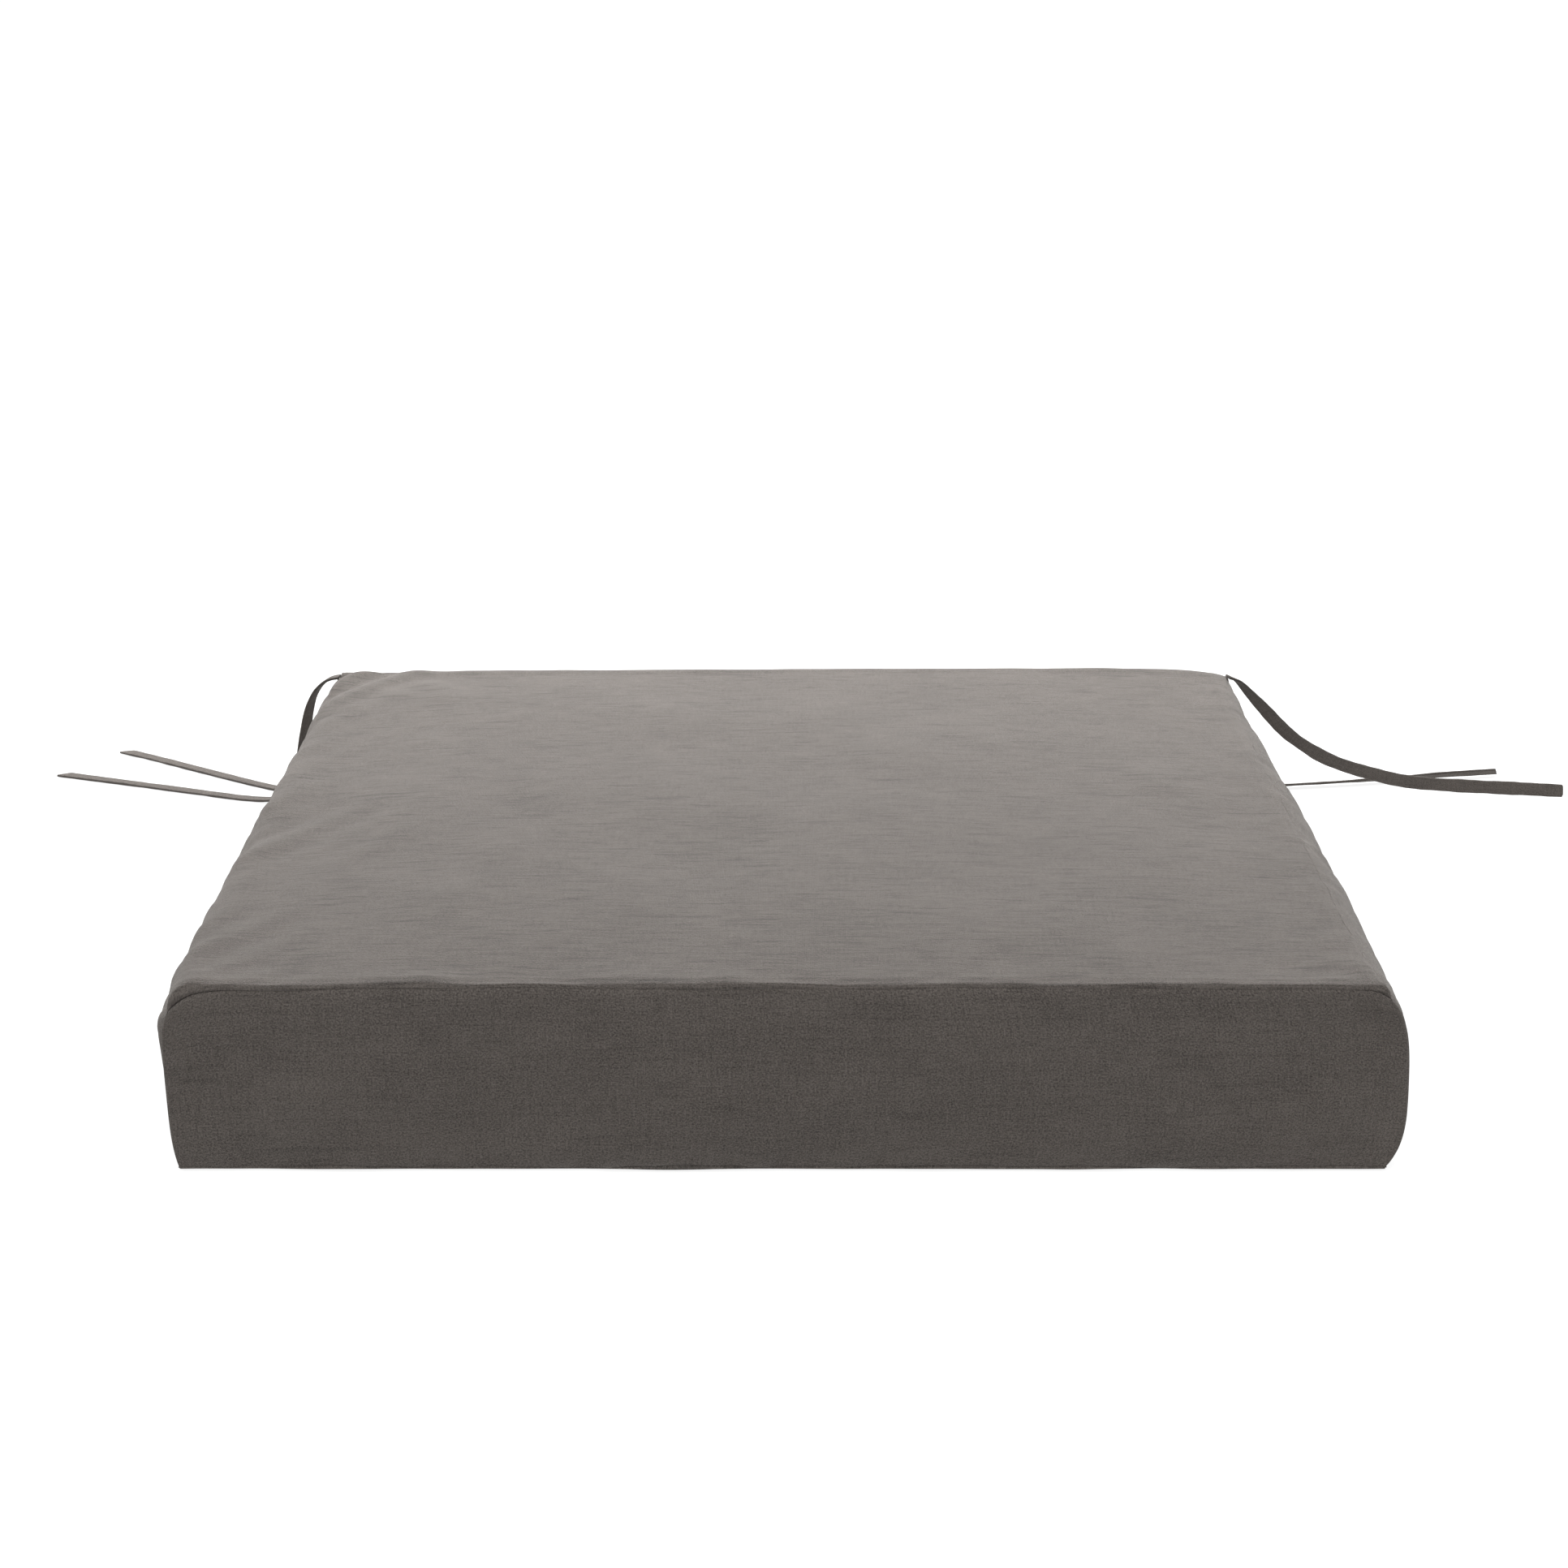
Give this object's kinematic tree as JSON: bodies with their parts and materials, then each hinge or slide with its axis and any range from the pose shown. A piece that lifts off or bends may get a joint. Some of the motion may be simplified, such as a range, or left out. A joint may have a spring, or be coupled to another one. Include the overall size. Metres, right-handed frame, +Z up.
{
  "type": "chair seat pad",
  "caption": "Square boxed chair pad: foam slab and fibre wraps in a sewn cloth cover with a rear zip and paired ties at the rear corners.",
  "frame": {"origin": "middle of the pad's base, with the ties left out of the measurement", "axes": "+Z up through the pad's thickness; +X to the right; the front faces -Y and the zip and ties are at +Y"},
  "size_m": [0.8949, 0.6333, 0.089],
  "materials": {
    "cover_cloth": "matte woven cloth",
    "foam": "open-cell foam",
    "fibre": "fibre wadding",
    "thread": "spun thread",
    "zip_tape": "twill tape",
    "zip_teeth": "moulded plastic",
    "zip_metal": "dull plated metal"
  },
  "bodies": {
    "pad": {"foam_core": "foam", "fibre_wrap_upper": "fibre", "fibre_wrap_lower": "fibre", "top_panel": "cover_cloth", "bottom_panel": "cover_cloth", "front_boxing": "cover_cloth", "right_boxing": "cover_cloth", "left_boxing": "cover_cloth", "rear_boxing_upper": "cover_cloth", "rear_boxing_lower": "cover_cloth", "bottom_seam_thread": "thread", "top_seam_thread": "thread", "corner_seam_thread_front_left": "thread", "corner_seam_thread_front_right": "thread", "corner_seam_thread_rear_left": "thread", "corner_seam_thread_rear_right": "thread", "zip_teeth_upper": "zip_teeth", "zip_teeth_lower": "zip_teeth", "zip_tape_upper": "zip_tape", "zip_tape_lower": "zip_tape", "zip_top_stop_upper": "zip_metal", "zip_top_stop_lower": "zip_metal", "zip_bottom_stop": "zip_metal", "zip_stitching_upper": "thread", "zip_stitching_lower": "thread", "tie_left_outer": "cover_cloth", "tie_left_inner": "cover_cloth", "tie_right_outer": "cover_cloth", "tie_right_inner": "cover_cloth"},
    "slider": {"zip_slider": "zip_metal"},
    "pull_tab": {"zip_pull_tab": "zip_metal"}
  },
  "joints": [
    {"name": "zip_slide", "type": "slide", "parent": "pad", "child": "slider", "axis": [-1, 0, 0], "range_m": [0, 0.38], "deforming": ["zip_teeth_upper", "zip_teeth_lower"]},
    {"name": "pull_swing", "type": "hinge", "parent": "slider", "child": "pull_tab", "pos_m": [0.1934, 0.2513, 0.042], "axis": [0, 0, -1], "range_deg": [0, 165]}
  ]
}
